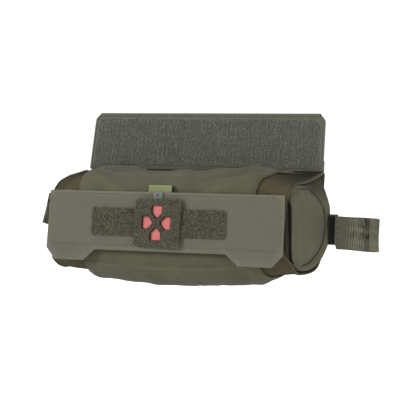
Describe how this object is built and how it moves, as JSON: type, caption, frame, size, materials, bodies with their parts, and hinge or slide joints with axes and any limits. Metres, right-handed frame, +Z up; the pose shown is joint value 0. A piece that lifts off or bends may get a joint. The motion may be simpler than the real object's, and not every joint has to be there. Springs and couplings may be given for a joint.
{
  "type": "horizontal roll first-aid pouch",
  "caption": "Horizontal roll-type first-aid pouch: elastic sleeve hung from a hook-tape flap, with a filled insert that pulls out sideways by a webbing tab at either end.",
  "frame": {"origin": "centre line of the back sheet's rear face, at the height of the roll's axis", "axes": "+X along the roll towards the wearer's left (image right), +Y towards the wearer, +Z up"},
  "size_m": [0.3564, 0.086, 0.152],
  "materials": {
    "laminate": "smooth coated laminate, laser-cut edge",
    "weave": "plain weave nylon",
    "elastic": "ribbed elastic webbing",
    "binding": "rolled and bound edge",
    "webbing": "ribbed webbing",
    "loop_tape": "soft loop pile",
    "hook_tape": "rows of small hooks",
    "black_tape": "black tape",
    "patch_laminate": "matt rubbery laminate",
    "patch_red": "matt coral red film",
    "label": "woven tape, plain",
    "keeper": "matt moulded rubber",
    "foam": "closed-cell foam sheet",
    "stiffener": "plain sheet",
    "filler": "packed bandage fabric"
  },
  "bodies": {
    "carrier": {"back_sheet": "laminate", "elastic_band_left": "elastic", "elastic_band_right": "elastic", "edge_binding_left": "binding", "edge_binding_right": "binding", "centre_fabric": "weave", "front_panel": "laminate", "loop_field": "loop_tape", "side_label": "label", "label_keeper": "keeper"},
    "mount_flap": {"mount_back_sheet": "laminate", "mount_stiffener": "stiffener", "mount_face_sheet": "laminate", "hook_field": "hook_tape"},
    "insert": {"insert_shell": "weave", "insert_padding": "foam", "packed_filling": "filler", "organiser_panel": "laminate", "organiser_elastic_loops": "elastic", "closure_loop_tape": "loop_tape", "closure_hook_tape": "hook_tape", "closure_flap": "laminate", "end_gusset_left": "weave", "end_gusset_right": "weave", "carry_strap": "webbing"},
    "end_flap_left": {"end_flap_left": "laminate"},
    "end_flap_right": {"end_flap_right": "laminate"},
    "tab_right": {"tab_strap_right": "webbing", "tab_hook_patch_right": "black_tape", "pull_tab_right": "webbing"},
    "tab_left": {"tab_strap_left": "webbing", "pull_tab_left": "webbing"},
    "id_patch": {"patch_hook_backing": "hook_tape", "patch_red_layer": "patch_red", "patch_face": "patch_laminate"}
  },
  "joints": [
    {"name": "insert_slide", "type": "slide", "parent": "carrier", "child": "insert", "axis": [1, 0, 0], "range_m": [-0.32, 0.32]},
    {"name": "mount_flap_fold", "type": "hinge", "parent": "carrier", "child": "mount_flap", "pos_m": [0, 0, 0.0475], "axis": [1, 0, 0], "range_deg": [-160, 16]},
    {"name": "tab_right_fold", "type": "hinge", "parent": "insert", "child": "tab_right", "pos_m": [0.131, -0.0082, -0.004], "axis": [0, 0, 1], "range_deg": [-20, 75]},
    {"name": "tab_left_fold", "type": "hinge", "parent": "insert", "child": "tab_left", "pos_m": [-0.131, -0.0082, 0.0006], "axis": [0, 0, -1], "range_deg": [-20, 75]},
    {"name": "end_flap_right_open", "type": "hinge", "parent": "insert", "child": "end_flap_right", "pos_m": [0.129, -0.0104, 0], "axis": [0, 0, 1], "range_deg": [0, 48]},
    {"name": "end_flap_left_open", "type": "hinge", "parent": "insert", "child": "end_flap_left", "pos_m": [-0.129, -0.0104, 0], "axis": [0, 0, -1], "range_deg": [0, 48]},
    {"name": "patch_lift", "type": "slide", "parent": "carrier", "child": "id_patch", "axis": [0, -0.9979, 0.0645], "range_m": [0, 0.04]}
  ]
}
